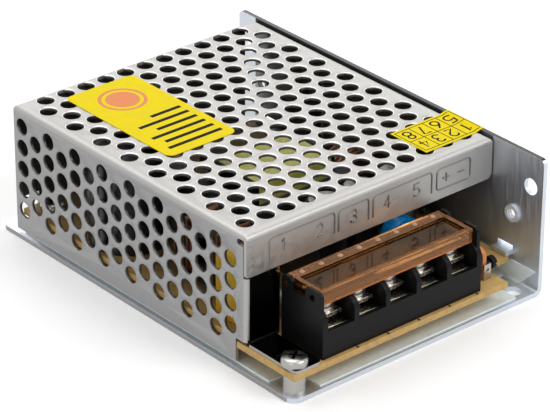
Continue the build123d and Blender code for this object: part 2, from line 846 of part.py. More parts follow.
disc("thermistor", board_point(thermistor_side, thermistor_setback), thermistor_diameter, thermistor_disc)
disc("y_capacitor", board_point(y_cap_side, y_cap_setback), y_cap_diameter, y_cap_disc)
cans("bulk_capacitor", [bulk_point], bulk_diameter, bulk_top_gap)

with BuildPart() as bridge_rectifier:
    bridge_left = board_left + bridge_side
    with BuildSketch(Plane.XY.offset(board_top + bridge_leg)):
        patch(bridge_left, bridge_front, bridge_left + bridge_width, bridge_front + bridge_length)
    extrude(amount=bridge_height)
    with BuildSketch(Plane.XY.offset(board_top)):
        with Locations((bridge_left + bridge_width / 2, bridge_front + bridge_length / 2)):
            with GridLocations(0, bridge_leg_pitch, 1, bridge_leg_count):
                Rectangle(lead, lead)
    extrude(amount=bridge_leg)
save(bridge_rectifier, "bridge_rectifier")


def ring_plane(centre, axis, turn):
    radial = Vector(0, 0, 1).rotate(Axis((0, 0, 0), axis), turn)
    return Plane(origin=centre, x_dir=axis, z_dir=Vector(*axis).cross(radial))


def ring_core(name, centre, axis, outer, inner, width):
    with BuildPart() as core:
        with BuildSketch(Plane(origin=centre, z_dir=axis)):
            Circle(outer / 2)
            Circle(inner / 2, mode=Mode.SUBTRACT)
        extrude(amount=width / 2, both=True)
    save(core, name)


def ring_windings(name, centre, axis, starts, span, outer, inner, width, copper):
    ring = (outer - inner) / 2
    with BuildPart() as windings:
        for start in starts:
            with BuildSketch(ring_plane(centre, axis, start)):
                with Locations((0, (outer + inner) / 4)):
                    Rectangle(width + 2 * copper, ring + 2 * copper)
                    Rectangle(width, ring, mode=Mode.SUBTRACT)
            revolve(axis=Axis(centre, axis), revolution_arc=span)
    save(windings, name)


# Mains choke: a ferrite ring on edge, with one winding to the front and one to the back
choke_centre = (choke_x, choke_y, board_top + choke_outer / 2)
choke_starts = (90 - choke_span / 2, 270 - choke_span / 2)
choke_ring = (choke_outer, choke_inner, choke_width)
ring_core("choke_core", choke_centre, (1, 0, 0), *choke_ring)
ring_windings("choke_windings", choke_centre, (1, 0, 0), choke_starts, choke_span, *choke_ring, choke_copper)

# Output inductor: a ring on edge, wound all round but for its foot
inductor_centre = (inductor_x, cover_front + inductor_setback, board_top + inductor_outer / 2)
inductor_starts = (-inductor_span / 2,)
inductor_ring = (inductor_outer, inductor_inner, inductor_width)
ring_core("inductor_core", inductor_centre, (0, 1, 0), *inductor_ring)
ring_windings(
    "inductor_winding",
    inductor_centre,
    (0, 1, 0),
    inductor_starts,
    inductor_span,
    *inductor_ring,
    inductor_copper,
)

# Transformer: a closed ferrite core lying flat, with its coil on a flanged bobbin round the middle leg
tube_width = core_leg + 2 * bobbin_fit
coil_height = cover_under - transformer_top_gap - board_top - coil_lift
tube_height = coil_height - 2 * bobbin - 2 * coil_build
core_height = tube_height - 2 * bobbin_fit
coil_width = tube_width + 2 * bobbin + 2 * coil_build
coil_length = core_window_length - 2 * bobbin_fit
core_z = board_top + coil_lift + coil_height / 2
with BuildPart() as transformer_core:
    with BuildSketch(Plane.XY.offset(core_z)):
        with Locations((core_x, core_y)):
            Rectangle(core_window_length + 2 * core_yoke, core_span)
            with GridLocations(0, core_leg + core_window, 1, 2):
                Rectangle(core_window_length, core_window, mode=Mode.SUBTRACT)
    extrude(amount=core_height / 2, both=True)
save(transformer_core, "transformer_core")

with BuildPart() as transformer_bobbin:
    with BuildSketch(Plane.YZ.offset(core_x)):
        with Locations((core_y, core_z)):
            Rectangle(tube_width + 2 * bobbin, tube_height + 2 * bobbin)
            Rectangle(tube_width, tube_height, mode=Mode.SUBTRACT)
    extrude(amount=coil_length / 2, both=True)
    for flange_x in (core_x - coil_length / 2, core_x + coil_length / 2 - bobbin):
        with BuildSketch(Plane.YZ.offset(flange_x)):
            patch(core_y - coil_width / 2, board_top, core_y + coil_width / 2, core_z + coil_height / 2)
            with Locations((core_y, core_z)):
                Rectangle(tube_width, tube_height, mode=Mode.SUBTRACT)
        extrude(amount=bobbin)
save(transformer_bobbin, "transformer_bobbin")

with BuildPart() as transformer_winding:
    with BuildSketch(Plane.YZ.offset(core_x)):
        with Locations((core_y, core_z)):
            RectangleRounded(coil_width, coil_height, coil_round)
            Rectangle(tube_width + 2 * bobbin, tube_height + 2 * bobbin, mode=Mode.SUBTRACT)
    extrude(amount=coil_length / 2 - bobbin, both=True)
save(transformer_winding, "transformer_winding")

# Output capacitors in a row behind the lip
output_cap_points = [
    board_point(output_cap_side + output_cap_pitch * n, output_cap_setback) for n in range(output_cap_count)
]
cans("output_capacitors", output_cap_points, output_cap_diameter, output_cap_top_gap)

# Power devices on the tall wall, each behind an insulating pad
device_back = wall_face - pad
device_foot = board_top + device_leg
for name, y in zip(("output_diode", "power_transistor"), device_ys):
    with BuildPart() as package:
        with BuildSketch(Plane.XZ.offset(-y)):
            patch(device_back - device_tab, device_foot, device_back, device_foot + device_height)
            patch(device_back - device, device_foot, device_back, device_foot + device_body)
        extrude(amount=device_width / 2, both=True)
        with BuildSketch(Plane.YZ.offset(device_back)):
            with Locations((y, device_hole_z)):
                Circle(screw_clear / 2)
        extrude(amount=-device_tab, mode=Mode.SUBTRACT)
        with BuildSketch(Plane.XY.offset(board_top)):
            with Locations((device_back - device / 2, y)):
                with GridLocations(0, device_leg_pitch, 1, device_leg_count):
                    Rectangle(lead, lead)
        extrude(amount=device_leg)
    save(package, name)

with BuildPart() as insulating_pads:
    with BuildSketch(Plane.YZ.offset(device_back)):
        for y in device_ys:
            patch(
                y - device_width / 2 - pad_margin,
                device_foot - pad_margin,
                y + device_width / 2 + pad_margin,
                device_foot + device_height,
            )
        with Locations(*device_screw_points):
            Circle(screw_clear / 2, mode=Mode.SUBTRACT)
    extrude(amount=pad)
save(insulating_pads, "insulating_pads")


def chip(name, point, pins):
    length = pins * chip_pin_pitch
    with BuildPart() as package:
        with BuildSketch(Plane.XY.offset(board_top + chip_foot)):
            with Locations(point):
                Rectangle(chip_width, length)
        extrude(amount=chip_height)
        with BuildSketch(Plane.XY.offset(board_top)):
            with Locations(point):
                with GridLocations(chip_width - chip_pin, chip_pin_pitch, 2, pins):
                    Rectangle(chip_pin, chip_pin)
        extrude(amount=chip_foot)
    save(package, name)


# Control side: optocoupler, control chip and resistors
chip("optocoupler", board_point(optocoupler_side, optocoupler_setback), optocoupler_pins)
chip("control_ic", rear_point(control_side, control_inset), control_pins)

with BuildPart() as resistors:
    resistor_points = [
        rear_point(resistor_side + resistor_pitch * n, resistor_inset) for n in range(resistor_count)
    ]
    resistor_z = board_top + resistor_lift + resistor_diameter / 2
    with BuildSketch(Plane.XZ.offset(-resistor_points[0][1])):
        with Locations(*[(x, resistor_z) for x, _ in resistor_points]):
            Circle(resistor_diameter / 2)
    extrude(amount=resistor_length / 2, both=True)
    with BuildSketch(Plane.XY.offset(board_top)):
        for x, y in resistor_points:
            with Locations((x, y)):
                with GridLocations(0, resistor_length - lead, 1, 2):
                    Rectangle(lead, lead)
    extrude(amount=resistor_lift + resistor_diameter / 2)
save(resistors, "resistors")
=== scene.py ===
# Looks of a switching power supply in a mesh case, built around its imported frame.
# Sizes and places are in millimetres in the frame's own axes; MM turns them into metres.
import bmesh
import bpy
import json
import math
from mathutils import Matrix, Vector
from mathutils.geometry import delaunay_2d_cdt

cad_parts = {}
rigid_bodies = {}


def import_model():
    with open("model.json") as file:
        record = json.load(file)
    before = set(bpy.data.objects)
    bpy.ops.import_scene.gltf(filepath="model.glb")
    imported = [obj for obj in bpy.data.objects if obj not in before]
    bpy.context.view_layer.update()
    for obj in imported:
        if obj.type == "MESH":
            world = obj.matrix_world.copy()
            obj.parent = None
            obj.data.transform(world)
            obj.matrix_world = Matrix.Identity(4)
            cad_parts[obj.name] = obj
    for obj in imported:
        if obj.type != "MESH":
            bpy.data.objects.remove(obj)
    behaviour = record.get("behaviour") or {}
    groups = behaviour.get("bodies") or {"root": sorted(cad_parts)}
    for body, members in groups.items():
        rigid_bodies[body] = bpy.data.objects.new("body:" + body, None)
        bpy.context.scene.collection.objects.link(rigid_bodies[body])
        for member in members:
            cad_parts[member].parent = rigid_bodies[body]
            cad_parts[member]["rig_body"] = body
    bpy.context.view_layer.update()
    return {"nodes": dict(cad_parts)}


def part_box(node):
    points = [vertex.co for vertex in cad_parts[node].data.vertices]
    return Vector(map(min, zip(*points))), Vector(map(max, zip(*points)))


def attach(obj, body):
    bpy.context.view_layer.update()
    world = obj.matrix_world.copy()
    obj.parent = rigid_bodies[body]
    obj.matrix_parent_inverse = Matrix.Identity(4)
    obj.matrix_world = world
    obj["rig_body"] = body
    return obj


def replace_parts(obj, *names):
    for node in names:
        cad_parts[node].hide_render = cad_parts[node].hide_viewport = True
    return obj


MM = 0.001
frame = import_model()
nodes = frame["nodes"]
scene = bpy.context.scene
scene.view_settings.view_transform = "Standard"


def low_high(name):
    low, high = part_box(name)
    return low / MM, high / MM


# Levels and edges read from the frame
case_low, case_high = low_high("chassis")
cover_low, cover_high = low_high("cover")
board_low, board_high = low_high("circuit_board")
block_front = low_high("terminal_block")[0].y
lid_low, lid_high = low_high("terminal_cover")
large_low, large_high = low_high("large_label")
small_low, small_high = low_high("small_label")

# Chassis and cover sheets, as folded
wall_thickness = 1.2
sheet = 0.8
sticker = 0.12
top_bend = 1.2
side_bend = 1.0
foot_bend = 0.6
lip_front = case_low.y + 16.8
lip_height = 10.5
lip_corner = 1.5
lip_left_corner = 0.6
seam = 0.2
back_notch_width = 6.2
back_notch_gap = 3.0
back_wall_clearance = 3.8
side_notch_length = 3.7
relief_length = 2.4
relief_height = 1.6
flange_width = 9.9
flange_gap = 0.3
flange_corner = 0.5
tab_side_inset = 0.4
tab_width = 8.0
tab_corner = 1.2
wing_height = 8.0
wing_end_gap = 6.0
wing_screw_inset = 18.0
screw_clear = 3.2
pillar_inset = 3.6
cover_foot = case_low.z + 2.2
collar_inset = 9.5
collar_height = 18.5
collar_rise = 0.6

# Holes of the mesh
mesh_hole = 4.2
mesh_row_pitch = 5.2
mesh_first_row = 5.7
mesh_edge = 2.6
top_hole_pitch = 6.1
top_hole_edge = 3.4
side_hole_pitch = 5.7
side_first_hole = 4.8
side_hole_edge = 2.8
hole_sides = 36
rim = 0.26
rim_shoulder = 0.3
bend_steps = 8

# Limits for joining points, telling faces in holes, flattening and bevels, with the angles in degrees
weld = 0.001
mesh_weld = 0.002
outline_weld = 1e-6
hole_inside = 0.97
flat_angle = 0.5
sharp_angle = 30.0
bevel_angle = 35.0

# Raised lines: width of the pressed lines, and heights of pressed and printed ones
pressed_width = 0.5
pressed_rise = 0.22
ink_rise = 0.02
score_rise = 0.03

# Camera that took the photograph: direction, distance and place in the frame
photo_width = 550
camera_azimuth = math.radians(-40.725)
camera_elevation = math.radians(28.187)
camera_roll = math.radians(0.305)
camera_focus_pixels = 3118.9
camera_distance = 747.5
camera_slip = (2.143, -0.242)
camera_target = Vector((0, 0, 15))
sensor_width = 36.0

# Softboxes, as place and size in metres and power in watts
softboxes = {
    "top_softbox": ((-0.10, 0.22, 0.75), (0.7, 0.7), 3.0),
    "left_softbox": ((-0.70, -0.25, 0.38), (0.5, 0.5), 0.45),
    "front_softbox": ((0.25, -0.58, 0.62), (0.4, 0.4), 2.7),
    "back_softbox": ((0.52, 0.60, 0.43), (0.9, 0.6), 1.5),
}
world_light = 0.30
world_seen = 1.0
floor_glow_seen = 0.18
floor_reach = 3.0
floor_level = -0.00003


def link(name, mesh):
    piece = bpy.data.objects.new(name, mesh)
    scene.collection.objects.link(piece)
    return piece


def camera():
    a, e, r = camera_azimuth, camera_elevation, camera_roll
    back = Vector((math.sin(a) * math.cos(e), -math.cos(a) * math.cos(e), math.sin(e)))
    level = Vector((math.cos(a), math.sin(a), 0))
    rise = back.cross(level)
    right = level * math.cos(r) + rise * math.sin(r)
    up = rise * math.cos(r) - level * math.sin(r)
    spot = camera_target + right * camera_slip[0] + up * camera_slip[1] + back * camera_distance
    data = bpy.data.cameras.new("camera")
    data.sensor_width = sensor_width
    data.lens = camera_focus_pixels / photo_width * sensor_width
    data.clip_start = 0.01
    eye = link("camera", data)
    eye.matrix_world = Matrix.Translation(spot * MM) @ Matrix((right, up, back)).transposed().to_4x4()
    scene.camera = eye


def area_light(name, place, size, watts):
    data = bpy.data.lights.new(name, "AREA")
    data.shape = "RECTANGLE"
    data.size, data.size_y = size
    data.energy = watts
    lamp = link(name, data)
    lamp.location = place
    lamp.rotation_euler = (-Vector(place)).to_track_quat("-Z", "Y").to_euler()


def level_when_seen(tree, hidden, shown):
    # One level for rays that see the backdrop, straight or by way of metal and glass,
    # and another for the rest
    path = tree.nodes.new("ShaderNodeLightPath")
    glossy = tree.nodes.new("ShaderNodeMath")
    glossy.operation = "MAXIMUM"
    seen = tree.nodes.new("ShaderNodeMath")
    seen.operation = "MAXIMUM"
    level = tree.nodes.new("ShaderNodeMapRange")
    level.inputs["To Min"].default_value = hidden
    level.inputs["To Max"].default_value = shown
    tree.links.new(path.outputs["Is Glossy Ray"], glossy.inputs[0])
    tree.links.new(path.outputs["Is Transmission Ray"], glossy.inputs[1])
    tree.links.new(path.outputs["Is Camera Ray"], seen.inputs[0])
    tree.links.new(glossy.outputs[0], seen.inputs[1])
    tree.links.new(seen.outputs[0], level.inputs["Value"])
    return level.outputs[0]


def studio():
    world = bpy.data.worlds.new("studio")
    scene.world = world
    world.use_nodes = True
    tree = world.node_tree
    background = tree.nodes["Background"]
    tree.links.new(level_when_seen(tree, world_light, world_seen), background.inputs["Strength"])
    background.inputs["Color"].default_value = (1, 1, 1, 1)
    for name, (place, size, watts) in softboxes.items():
        area_light(name, place, size, watts)


def paper_floor():
    mesh = bpy.data.meshes.new("floor")
    ways = ((-1, -1), (1, -1), (1, 1), (-1, 1))
    corners = [(x * floor_reach, y * floor_reach, floor_level) for x, y in ways]
    mesh.from_pydata(corners, [], [(0, 1, 2, 3)])
    floor = link("floor", mesh)
    material, tree, shader = surface("floor_paper", (0.93, 0.93, 0.93), 0.9)
    fibres = texture(tree, "ShaderNodeTexNoise", (1, 1, 1), Scale=900.0, Detail=3.0)
    bump(tree, shader, fibres, 0.05, 0.02)
    shader.inputs["Emission Color"].default_value = (1, 1, 1, 1)
    tree.links.new(level_when_seen(tree, 0.0, floor_glow_seen), shader.inputs["Emission Strength"])
    mesh.materials.append(material)


# Helpers for materials

def surface(name, colour, roughness, metallic=0.0):
    material = bpy.data.materials.new(name)
    material.use_nodes = True
    tree = material.node_tree
    shader = tree.nodes["Principled BSDF"]
    shader.inputs["Base Color"].default_value = (*colour, 1)
    shader.inputs["Roughness"].default_value = roughness
    shader.inputs["Metallic"].default_value = metallic
    return material, tree, shader


def texture(tree, kind, stretch, **values):
    coordinate = tree.nodes.new("ShaderNodeTexCoord")
    mapping = tree.nodes.new("ShaderNodeMapping")
    mapping.inputs["Scale"].default_value = stretch
    node = tree.nodes.new(kind)
    tree.links.new(coordinate.outputs["Object"], mapping.inputs["Vector"])
    tree.links.new(mapping.outputs["Vector"], node.inputs["Vector"])
    for key, value in values.items():
        node.inputs[key.replace("_", " ")].default_value = value
    return node


def spread(tree, source, low, high, start=0.3, end=0.7):
    node = tree.nodes.new("ShaderNodeMapRange")
    node.inputs["From Min"].default_value = start
    node.inputs["From Max"].default_value = end
    node.inputs["To Min"].default_value = low
    node.inputs["To Max"].default_value = high
    tree.links.new(source, node.inputs["Value"])
    return node.outputs["Result"]


def tint(tree, shader, source, dark, light, start=0.3, end=0.7):
    ramp = tree.nodes.new("ShaderNodeValToRGB")
    ramp.color_ramp.elements[0].position = start
    ramp.color_ramp.elements[1].position = end
    ramp.color_ramp.elements[0].color = (*dark, 1)
    ramp.color_ramp.elements[1].color = (*light, 1)
    tree.links.new(source, ramp.inputs["Fac"])
    tree.links.new(ramp.outputs["Color"], shader.inputs["Base Color"])


def bump(tree, shader, source, strength, distance):
    node = tree.nodes.new("ShaderNodeBump")
    node.inputs["Strength"].default_value = strength
    node.inputs["Distance"].default_value = distance * MM
    tree.links.new(source.outputs[0], node.inputs["Height"])
    tree.links.new(node.outputs["Normal"], shader.inputs["Normal"])


def scaled(colour, factor):
    return tuple(min(1.0, channel * factor) for channel in colour)


def metal(name, colour, roughness, brush=(1, 1, 1), scale=900.0, vary=0.08, depth=0.012):
    material, tree, shader = surface(name, colour, roughness, 1.0)
    grain = texture(tree, "ShaderNodeTexNoise", brush, Scale=scale, Detail=5.0, Roughness=0.65)
    tint(tree, shader, grain.outputs[0], scaled(colour, 1 - vary), scaled(colour, 1 + vary))
    worn = spread(tree, grain.outputs[0], roughness * 0.75, roughness * 1.25)
    tree.links.new(worn, shader.inputs["Roughness"])
    bump(tree, shader, grain, 0.35, depth)
    return material


def shaded_inside(material, factor, *ramps):
    # A darker base colour where no open light reaches
    # Each ramp runs along an axis, from none of the shade to all of it
    tree = material.node_tree
    coordinate = tree.nodes.new("ShaderNodeTexCoord")
    split = tree.nodes.new("ShaderNodeSeparateXYZ")
    tree.links.new(coordinate.outputs["Object"], split.inputs["Vector"])
    shade = tree.nodes.new("ShaderNodeMixRGB")
    shade.blend_type = "MULTIPLY"
    shade.inputs["Color2"].default_value = (factor, factor, factor, 1)
    inside = None
    for axis, none, full in ramps:
        share = spread(tree, split.outputs[axis], 0.0, 1.0, none * MM, full * MM)
        if inside:
            both = tree.nodes.new("ShaderNodeMath")
            both.operation = "MULTIPLY"
            tree.links.new(inside, both.inputs[0])
            tree.links.new(share, both.inputs[1])
            share = both.outputs[0]
        inside = share
    base = tree.nodes["Principled BSDF"].inputs["Base Color"]
    tree.links.new(inside, shade.inputs["Fac"])
    tree.links.new(base.links[0].from_socket, shade.inputs["Color1"])
    tree.links.new(shade.outputs["Color"], base)


def plastic(name, colour, roughness, scale=1800.0, vary=0.10, depth=0.02, gloss=0.5):
    material, tree, shader = surface(name, colour, roughness)
    shader.inputs["Specular IOR Level"].default_value = gloss
    grain = texture(tree, "ShaderNodeTexNoise", (1, 1, 1), Scale=scale, Detail=4.0)
    tint(tree, shader, grain.outputs[0], scaled(colour, 1 - vary), scaled(colour, 1 + vary))
    worn = spread(tree, grain.outputs[0], roughness * 0.85, roughness * 1.2)
    tree.links.new(worn, shader.inputs["Roughness"])
    bump(tree, shader, grain, 0.4, depth)
    return material


def wound(name, colour, turn, along, roughness=0.3):
    # Fine turns, as of enamelled wire, with a dark line between neighbours
    material, tree, shader = surface(name, colour, roughness, 0.85)
    wave_length = 6.2
    scale = 1 / (turn * MM) / wave_length
    wires = texture(tree, "ShaderNodeTexWave", (1, 1, 1), Scale=scale, Distortion=0.6)
    wires.bands_direction = along
    tint(tree, shader, wires.outputs["Fac"], scaled(colour, 0.25), scaled(colour, 1.15), 0.1, 0.7)
    bump(tree, shader, wires, 0.8, 0.25)
    return material


def clear_tinted(name, colour, roughness, weight, gloss, sheen=(1, 1, 1)):
    material, tree, shader = surface(name, colour, roughness)
    shader.inputs["Specular Tint"].default_value = (*sheen, 1)
    shader.inputs["Transmission Weight"].default_value = weight
    shader.inputs["IOR"].default_value = 1.5
    shader.inputs["Specular IOR Level"].default_value = gloss
    flow = texture(tree, "ShaderNodeTexNoise", (1, 1, 1), Scale=160.0, Detail=2.0)
    tint(tree, shader, flow.outputs[0], scaled(colour, 0.92), scaled(colour, 1.05))
    bump(tree, shader, flow, 0.12, 0.1)
    return material


# Helpers for meshes

# Finishes of the cover's sheet: outer, painted shade on inner faces, near-black painted shade, painted
# highlight on hole rims, painted shade on the left side
OUTER, SHADED_INNER, PAINTED_SHADE, HIGHLIGHT_RING, SHADED_SIDE = range(5)


def mesh_of(name, work):
    mesh = bpy.data.meshes.new(name)
    bmesh.ops.recalc_face_normals(work, faces=work.faces)
    work.to_mesh(mesh)
    work.free()
    mesh.shade_smooth()
    mesh.set_sharp_from_angle(angle=math.radians(sharp_angle))
    return mesh


def on_body(piece, *materials, body="body", slot=None):
    for material in materials:
        piece.data.materials.append(material)
    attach(piece, body)
    return piece


def add_bevel(piece, width, edge_material):
    edge = piece.modifiers.new("edges", "BEVEL")
    edge.width = width * MM
    edge.segments = 2
    edge.limit_method = "ANGLE"
    edge.angle_limit = math.radians(bevel_angle)
    edge.use_clamp_overlap = True
    edge.harden_normals = True
    edge.material = edge_material


def dress(name, *materials, bevel=0.0, choose=None, edge=-1):
    # A CAD node with a material, or a copy with softened edges that stands for it
    node = nodes[name]
    if not bevel and not choose:
        node.data.materials.clear()
        node.data.materials.append(materials[0])
        return
    work = bmesh.new()
    work.from_mesh(node.data)
    bmesh.ops.remove_doubles(work, verts=work.verts, dist=weld * MM)
    limit = math.radians(flat_angle)
    bmesh.ops.dissolve_limit(work, angle_limit=limit, verts=work.verts, edges=work.edges)
    if choose:
        for face in work.faces:
            face.material_index = choose(face)
    piece = link(name + "_looks", mesh_of(name + "_looks", work))
    if bevel:
        add_bevel(piece, bevel, edge)
    on_body(piece, *materials, body=node["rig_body"])
    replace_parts(piece, name)


def circle(u, v, radius, count=hole_sides):
    steps = [2 * math.pi * n / count for n in range(count)]
    return [Vector((u + radius * math.cos(s), v + radius * math.sin(s))) for s in steps]


def arc(u, v, radius, start, end, count=6):
    steps = [math.radians(start + (end - start) * n / count) for n in range(count + 1)]
    return [Vector((u + radius * math.cos(s), v + radius * math.sin(s))) for s in steps]


def flat_faces(outline, holes, radius):
    points = list(outline)
    edges = [(n, (n + 1) % len(points)) for n in range(len(points))]
    for u, v in holes:
        start = len(points)
        points += circle(u, v, radius)
        edges += [(start + n, start + (n + 1) % hole_sides) for n in range(hole_sides)]
    spots, _, faces, _, _, _ = delaunay_2d_cdt(points, edges, [], 1, outline_weld)
    kept = []
    for face in faces:
        middle = sum((spots[n] for n in face), Vector((0, 0))) / len(face)
        if not any((middle - Vector(hole)).length < radius * hole_inside for hole in holes):
            kept.append(face)
    return spots, kept


def strip(work, rows, closed=True, finish=0):
    # Quads between rows of points of equal length
    lines = [[work.verts.new(point * MM) for point in row] for row in rows]
    count = len(lines[0])
    for first, second in zip(lines, lines[1:]):
        for n in range(count if closed else count - 1):
            m = (n + 1) % count
            work.faces.new((first[n], first[m], second[m], second[n])).material_index = finish


def panel(work, outline, holes, place, radius=mesh_hole / 2, outside=OUTER, ring=HIGHLIGHT_RING, edge=OUTER):
    # A flat sheet: place(u, v, depth) puts its points; hole rims are rounded on the outside
    outline = [Vector(point) for point in outline]
    for reach, level, finish in ((radius + rim, 0.0, outside), (radius, sheet, SHADED_INNER)):
        spots, faces = flat_faces(outline, holes, reach)
        made = [work.verts.new(place(p.x, p.y, level) * MM) for p in spots]
        for face in faces:
            work.faces.new([made[n] for n in face]).material_index = finish
    strip(work, [[place(p.x, p.y, level) for p in outline] for level in (0.0, sheet)], finish=edge)
    shoulder = rim * rim_shoulder
    rounded = [(radius + rim, 0.0), (radius + shoulder, shoulder), (radius, rim)]
    for steps, finish in ((rounded, ring), ([(radius, rim), (radius, sheet)], SHADED_INNER)):
        for u, v in holes:
            rows = [[place(p.x, p.y, level) for p in circle(u, v, reach)] for reach, level in steps]
            strip(work, rows, finish=finish)


def fold(work, centre, along, start, end, first, second, outer, inner, outside=OUTER, inside=SHADED_INNER):
    # A bend about a line through centre, from the first direction round to the second
    for radius, finish in ((outer, outside), (inner, inside)):
        rows = []
        for n in range(bend_steps + 1):
            turn = math.pi / 2 * n / bend_steps
            edge = centre + (first * math.cos(turn) + second * math.sin(turn)) * radius
            rows.append([edge + along * start, edge + along * end])
        strip(work, rows, False, finish)


def mitre(work, corner, x_way, y_way):
    # Where two top bends meet at a sharp upright corner
    steps = [math.pi / 2 * n / bend_steps for n in range(bend_steps + 1)]
    rows = []
    for a in steps:
        row = []
        for b in steps:
            height = min(math.sin(a), math.sin(b))
            row.append(corner + top_bend * Vector((x_way * math.cos(a), y_way * math.cos(b), height)))
        rows.append(row)
    strip(work, rows, closed=False)


# Axes, and levels and edges that follow from the sizes
X = Vector((1, 0, 0))
Y = Vector((0, 1, 0))
Z = Vector((0, 0, 1))
screws_low, screws_high = low_high("board_screws")
pan_head_radius = 3.2
screw_shank_radius = 1.5
cover_left, cover_right = cover_low.x, cover_high.x
cover_front, cover_back = lip_front, cover_high.y
cover_top = cover_high.z
cover_middle = (cover_left + cover_right) / 2
fold_line = cover_top - top_bend
slope_left = cover_right - top_bend
slope_right = case_high.x - wall_thickness
lip_bottom = cover_top - lip_height
board_top = board_high.z
tab_top = board_top + sheet
flange_top = lip_bottom - flange_gap
board_screw_seats = [
    ((screws_low.x + pan_head_radius, screws_low.y + pan_head_radius), tab_top),
    ((screws_high.x - pan_head_radius, screws_high.y - pan_head_radius), board_top),
]


def mesh_holes():
    rows = int((cover_back - cover_front - mesh_first_row - mesh_edge) / mesh_row_pitch) + 1
    ys = [cover_front + mesh_first_row + mesh_row_pitch * n for n in range(rows)]
    top_count = int((cover_right - cover_left - 2 * top_hole_edge) / top_hole_pitch) + 1
    top = []
    side = []
    side_count = int((cover_top - cover_foot - side_first_hole - side_hole_edge) / side_hole_pitch) + 1
    for row, y in enumerate(ys):
        odd = row % 2
        for n in range(top_count - odd):
            top.append((cover_middle + top_hole_pitch * (n - (top_count - 1 - odd) / 2), y))
        even = 1 - odd
        for n in range(side_count - even):
            side.append((y, cover_top - side_first_hole - side_hole_pitch * (n + even / 2)))
    return top, side


def cover_top_panel(work, holes):
    low_x, high_x = cover_left + top_bend, cover_right - top_bend
    low_y, high_y = cover_front + top_bend, cover_back - top_bend
    outline = [(low_x, low_y), (high_x, low_y), (high_x, high_y), (low_x, high_y)]
    panel(work, outline, holes, lambda u, v, d: Vector((u, v, cover_top - d)))
    inner = top_bend - sheet
    fold(work, Vector((low_x, 0, fold_line)), Y, low_y, high_y, -X, Z, top_bend, inner)
    fold(work, Vector((high_x, 0, fold_line)), Y, low_y, high_y, X, Z, top_bend, inner)
    fold(work, Vector((0, low_y, fold_line)), X, low_x, high_x, -Y, Z, top_bend, inner)
    fold(work, Vector((0, high_y, fold_line)), X, low_x, high_x, Y, Z, top_bend, inner)
    for x, x_way in ((low_x, -1), (high_x, 1)):
        for y, y_way in ((low_y, -1), (high_y, 1)):
            mitre(work, Vector((x, y, fold_line)), x_way, y_way)


def cover_left_wall(work, holes):
    seam_front = cover_front + sheet
    seam_back = seam_front + seam
    corner = cover_front + side_bend
    relief_radius = relief_height / 2
    relief_end = seam_front + relief_length - relief_radius
    outline = [
        (cover_front + side_notch_length, cover_foot),
        (cover_back, cover_foot),
        (cover_back, fold_line),
        *arc(relief_end, fold_line - relief_radius, relief_radius, 90, -90, 8),
        (seam_back, fold_line - relief_height),
        (seam_back, flange_top),
        (corner, flange_top),
        (corner, tab_top),
        (cover_front + side_notch_length, tab_top),
    ]
    panel(work, outline, holes, lambda u, v, d: Vector((cover_left + d, u, v)), outside=SHADED_SIDE, ring=SHADED_SIDE)
    centre = Vector((cover_left + side_bend, corner, 0))
    fold(work, centre, Z, tab_top, flange_top, -X, -Y, side_bend, side_bend - sheet)


def cover_lip(work):
    low_corner = arc(cover_right - lip_corner, lip_bottom + lip_corner, lip_corner, -90, 0)
    small = lip_left_corner
    left_corner = arc(cover_left + small, lip_bottom + small, small, 180, 270)
    outline = [*left_corner, *low_corner, (cover_right, fold_line), (cover_left, fold_line)]
    panel(work, outline, [], lambda u, v, d: Vector((u, cover_front + d, v)))


def cover_back_wall(work):
    low_x = cover_left + sheet + seam
    high_x = cover_right - back_wall_clearance
    notch_x = cover_left + back_notch_width
    notch_z = board_top + back_notch_gap
    outline = [
        (low_x, notch_z),
        (notch_x, notch_z),
        (notch_x, cover_foot),
        (high_x, cover_foot),
        (high_x, fold_line),
        (low_x, fold_line),
    ]
    panel(work, outline, [], lambda u, v, d: Vector((u, cover_back - d, v)))


def cover_wing(work):
    low_y, high_y = cover_front + wing_end_gap, cover_back - wing_end_gap
    low_z = cover_top - wing_height
    outline = [(low_y, low_z), (high_y, low_z), (high_y, fold_line), (low_y, fold_line)]
    middle = cover_top - wing_height / 2
    screws = [(cover_front + wing_screw_inset, middle), (cover_back - wing_screw_inset, middle)]
    panel(work, outline, screws, lambda u, v, d: Vector((cover_right - d, u, v)), screw_clear / 2)


def cover_flange_and_tab(work):
    low_x = cover_left + side_bend
    high_x = cover_left + flange_width
    tab_left = cover_left + tab_side_inset
    tab_right = tab_left + tab_width
    bend_z = tab_top + foot_bend
    bend_y = cover_front - foot_bend
    outline = [
        (tab_right, bend_z),
        (tab_right, board_top),
        *arc(high_x - flange_corner, board_top + flange_corner, flange_corner, -90, 0),
        *arc(high_x - flange_corner, flange_top - flange_corner, flange_corner, 0, 90),
        (low_x, flange_top),
        (low_x, bend_z),
    ]
    panel(work, outline, [], lambda u, v, d: Vector((u, cover_front + d, v)), outside=PAINTED_SHADE, edge=PAINTED_SHADE)
    centre = Vector((0, bend_y, bend_z))
    fold(work, centre, X, tab_left, tab_right, Y, -Z, foot_bend + sheet, foot_bend, SHADED_INNER, PAINTED_SHADE)
    tab_front = cover_low.y
    screw = (case_low.x + pillar_inset, case_low.y + pillar_inset)
    outline = [
        *arc(tab_left + tab_corner, tab_front + tab_corner, tab_corner, 180, 270),
        *arc(tab_right - tab_corner, tab_front + tab_corner, tab_corner, -90, 0),
        (tab_right, bend_y),
        (tab_left, bend_y),
    ]
    clearance = screw_clear / 2
    panel(work, outline, [screw], lambda u, v, d: Vector((u, v, tab_top - d)), clearance, outside=PAINTED_SHADE)


